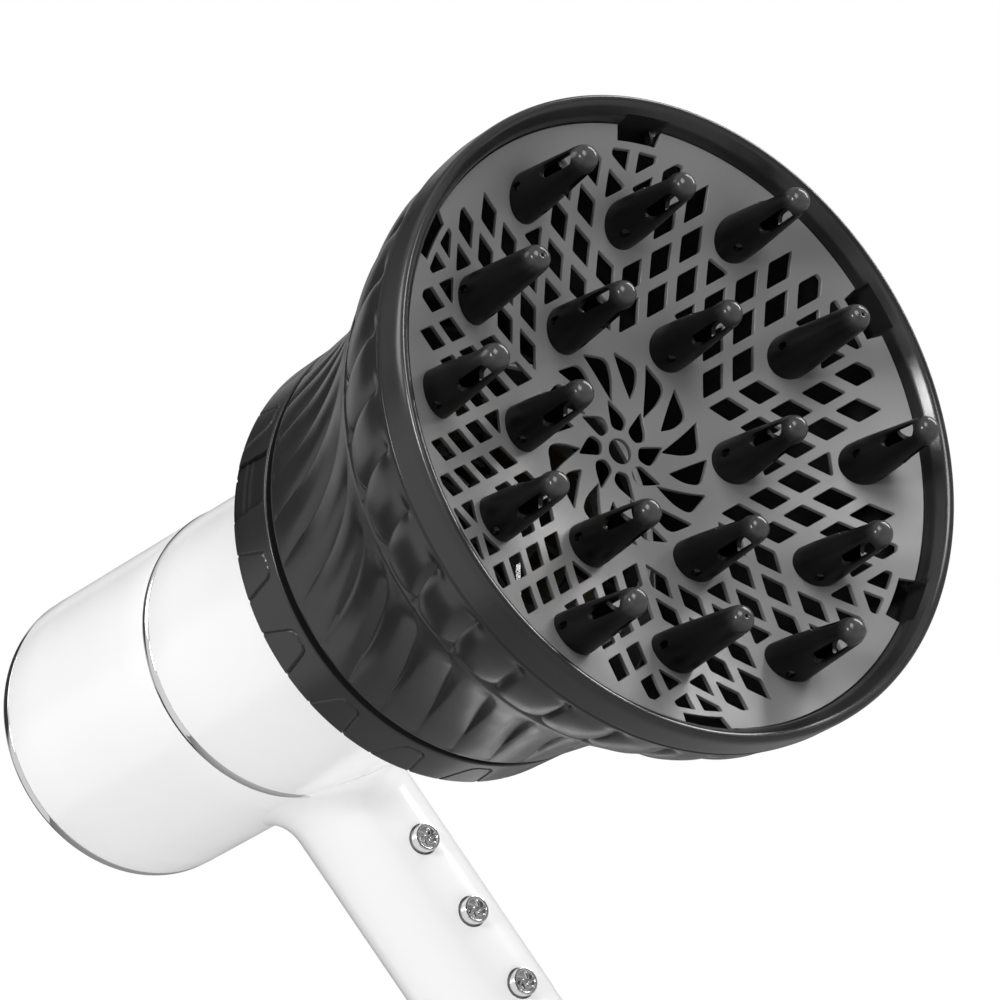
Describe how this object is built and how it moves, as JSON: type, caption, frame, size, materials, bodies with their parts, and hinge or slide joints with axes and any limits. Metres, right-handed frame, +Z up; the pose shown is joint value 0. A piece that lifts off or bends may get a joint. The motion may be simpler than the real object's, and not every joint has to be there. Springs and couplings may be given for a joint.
{
  "type": "hair dryer",
  "caption": "Hand-held hair dryer with a round barrel, straight handle, press buttons and a clip-on curl diffuser with long prongs over a pierced, dished plate.",
  "frame": {"origin": "middle of the hand grip, on the handle's axis", "axes": "+Z up the handle to the barrel, -Y the way the air leaves, +X to the right seen from the front"},
  "size_m": [0.1646, 0.2754, 0.2503],
  "materials": {
    "white_shell": "gloss",
    "chrome": "polished",
    "charcoal": "fine matte",
    "plate_grey": "satin",
    "gloss_black": "gloss",
    "steel": "brushed",
    "copper": "wound wire",
    "mica": "flaky matte",
    "ceramic": "matte",
    "board": "solder mask",
    "rubber": "matte"
  },
  "bodies": {
    "housing": {"main_housing": "white_shell", "chrome_ring": "chrome", "rear_trim_ring": "chrome", "stator_vanes": "charcoal", "motor_can": "steel", "motor_end_cap": "charcoal", "heater_tube": "mica", "heater_frame": "mica", "heater_coil": "steel", "thermal_cutout": "gloss_black", "thermal_fuse": "ceramic", "nozzle_ring": "charcoal", "outlet_grille": "gloss_black", "control_board": "board", "ion_generator": "gloss_black", "power_lead": "rubber", "end_cap": "white_shell", "cap_screw": "steel", "cord_inlet": "rubber", "power_switch": "gloss_black", "speed_switch": "gloss_black", "heat_switch": "gloss_black"},
    "rotor": {"motor_rotor": "copper", "motor_shaft": "steel", "fan_impeller": "gloss_black"},
    "power_button": {"power_button": "chrome"},
    "speed_button": {"speed_button": "chrome"},
    "heat_button": {"heat_button": "chrome"},
    "rear_cover": {"rear_cover": "white_shell", "filter_screen": "steel"},
    "diffuser": {"diffuser_bowl": "charcoal", "diffuser_plate": "plate_grey", "inner_prong_1": "gloss_black", "inner_prong_2": "gloss_black", "inner_prong_3": "gloss_black", "inner_prong_4": "gloss_black", "inner_prong_5": "gloss_black", "inner_prong_6": "gloss_black", "outer_prong_1": "gloss_black", "outer_prong_2": "gloss_black", "outer_prong_3": "gloss_black", "outer_prong_4": "gloss_black", "outer_prong_5": "gloss_black", "outer_prong_6": "gloss_black", "middle_prong_1": "gloss_black", "middle_prong_2": "gloss_black", "middle_prong_3": "gloss_black", "middle_prong_4": "gloss_black", "middle_prong_5": "gloss_black", "middle_prong_6": "gloss_black"},
    "clamp_ring": {"clamp_ring": "charcoal"},
    "claw_1": {"clamp_claw_1": "rubber"},
    "claw_2": {"clamp_claw_2": "rubber"},
    "claw_3": {"clamp_claw_3": "rubber"},
    "claw_4": {"clamp_claw_4": "rubber"},
    "claw_5": {"clamp_claw_5": "rubber"},
    "claw_6": {"clamp_claw_6": "rubber"}
  },
  "joints": [
    {"name": "fan_spin", "type": "hinge", "parent": "housing", "child": "rotor", "pos_m": [0, 0.02, 0.105], "axis": [0, 1, 0], "continuous": true},
    {"name": "power_press", "type": "slide", "parent": "housing", "child": "power_button", "axis": [0, 1, 0], "range_m": [0, 0.0012], "stiffness_N_per_m": 400, "springref_m": -0.001},
    {"name": "speed_press", "type": "slide", "parent": "housing", "child": "speed_button", "axis": [0, 1, 0], "range_m": [0, 0.0012], "stiffness_N_per_m": 400, "springref_m": -0.001},
    {"name": "heat_press", "type": "slide", "parent": "housing", "child": "heat_button", "axis": [0, 1, 0], "range_m": [0, 0.0012], "stiffness_N_per_m": 400, "springref_m": -0.001},
    {"name": "cover_pull", "type": "slide", "parent": "housing", "child": "rear_cover", "axis": [0, 1, 0], "range_m": [0, 0.03]},
    {"name": "diffuser_pull", "type": "slide", "parent": "housing", "child": "diffuser", "axis": [0, -1, 0], "range_m": [0, 0.06]},
    {"name": "clamp_twist", "type": "hinge", "parent": "diffuser", "child": "clamp_ring", "pos_m": [0, -0.093, 0.105], "axis": [0, 1, 0], "range_deg": [0, 30]},
    {"name": "claw_1_slide", "type": "slide", "parent": "diffuser", "child": "claw_1", "axis": [0, 0, 1], "range_m": [0, 0.0041]},
    {"name": "claw_2_slide", "type": "slide", "parent": "diffuser", "child": "claw_2", "axis": [-0.866, 0, 0.5], "range_m": [0, 0.0041]},
    {"name": "claw_3_slide", "type": "slide", "parent": "diffuser", "child": "claw_3", "axis": [-0.866, 0, -0.5], "range_m": [0, 0.0041]},
    {"name": "claw_4_slide", "type": "slide", "parent": "diffuser", "child": "claw_4", "axis": [0, 0, -1], "range_m": [0, 0.0041]},
    {"name": "claw_5_slide", "type": "slide", "parent": "diffuser", "child": "claw_5", "axis": [0.866, 0, -0.5], "range_m": [0, 0.0041]},
    {"name": "claw_6_slide", "type": "slide", "parent": "diffuser", "child": "claw_6", "axis": [0.866, 0, 0.5], "range_m": [0, 0.0041]}
  ],
  "couplings": [
    {"joint": "claw_1_slide", "follows": "clamp_twist", "m_per_rad": 0.007639},
    {"joint": "claw_2_slide", "follows": "clamp_twist", "m_per_rad": 0.007639},
    {"joint": "claw_3_slide", "follows": "clamp_twist", "m_per_rad": 0.007639},
    {"joint": "claw_4_slide", "follows": "clamp_twist", "m_per_rad": 0.007639},
    {"joint": "claw_5_slide", "follows": "clamp_twist", "m_per_rad": 0.007639},
    {"joint": "claw_6_slide", "follows": "clamp_twist", "m_per_rad": 0.007639}
  ]
}
